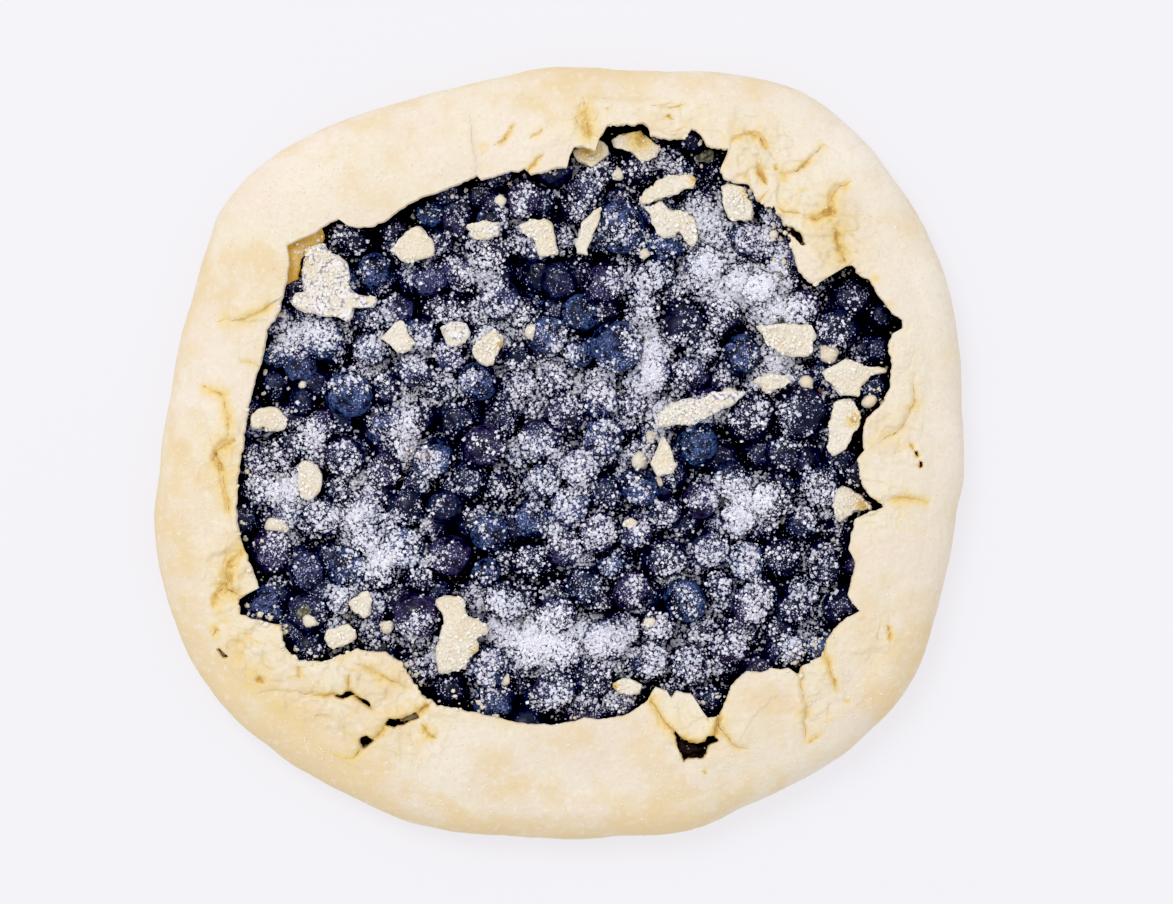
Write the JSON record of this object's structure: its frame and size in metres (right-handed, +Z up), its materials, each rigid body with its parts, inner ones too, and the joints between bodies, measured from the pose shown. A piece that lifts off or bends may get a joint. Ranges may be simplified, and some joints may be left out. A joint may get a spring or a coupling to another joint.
{
  "type": "blueberry galette, unbaked",
  "caption": "Free-form round fruit tart of raw shortcrust folded inwards over a heap of sugared blueberries, with torn scraps of dough on the fruit.",
  "frame": {"origin": "middle of the bounding box, on the flat underside", "axes": "+Z up, away from the surface it rests on; +Y towards the side where the opening in the crust has its highest notch; +X to the right seen from above"},
  "size_m": [0.2692, 0.2568, 0.0263],
  "materials": {
    "raw_dough": "soft matt raw shortcrust, pale cream, with ochre in its creases",
    "blueberries": "dark blue skins with a pale bloom under white granulated sugar",
    "dough_scraps": "matt cream dough, some pieces crusted with sugar"
  },
  "bodies": {
    "root": {"crust": "raw_dough", "berry_filling": "blueberries", "scrap_corner": "dough_scraps", "scrap_kite": "dough_scraps", "scrap_top_left": "dough_scraps", "scrap_hook": "dough_scraps", "scrap_sickle": "dough_scraps", "scrap_curl": "dough_scraps", "scrap_notch": "dough_scraps", "scrap_wing_arm": "dough_scraps", "scrap_wing": "dough_scraps", "scrap_tab": "dough_scraps", "scrap_slab": "dough_scraps", "scrap_slab_foot": "dough_scraps", "scrap_bar": "dough_scraps", "scrap_strap": "dough_scraps", "scrap_strap_foot": "dough_scraps", "scrap_finger": "dough_scraps", "scrap_right_lip": "dough_scraps", "scrap_left_lip": "dough_scraps", "scrap_pebble": "dough_scraps", "scrap_leaf": "dough_scraps", "scrap_lump": "dough_scraps", "scrap_brick": "dough_scraps", "scrap_saddle": "dough_scraps", "scrap_lower_lip": "dough_scraps", "scrap_chip": "dough_scraps", "scrap_plug": "dough_scraps"}
  },
  "joints": []
}
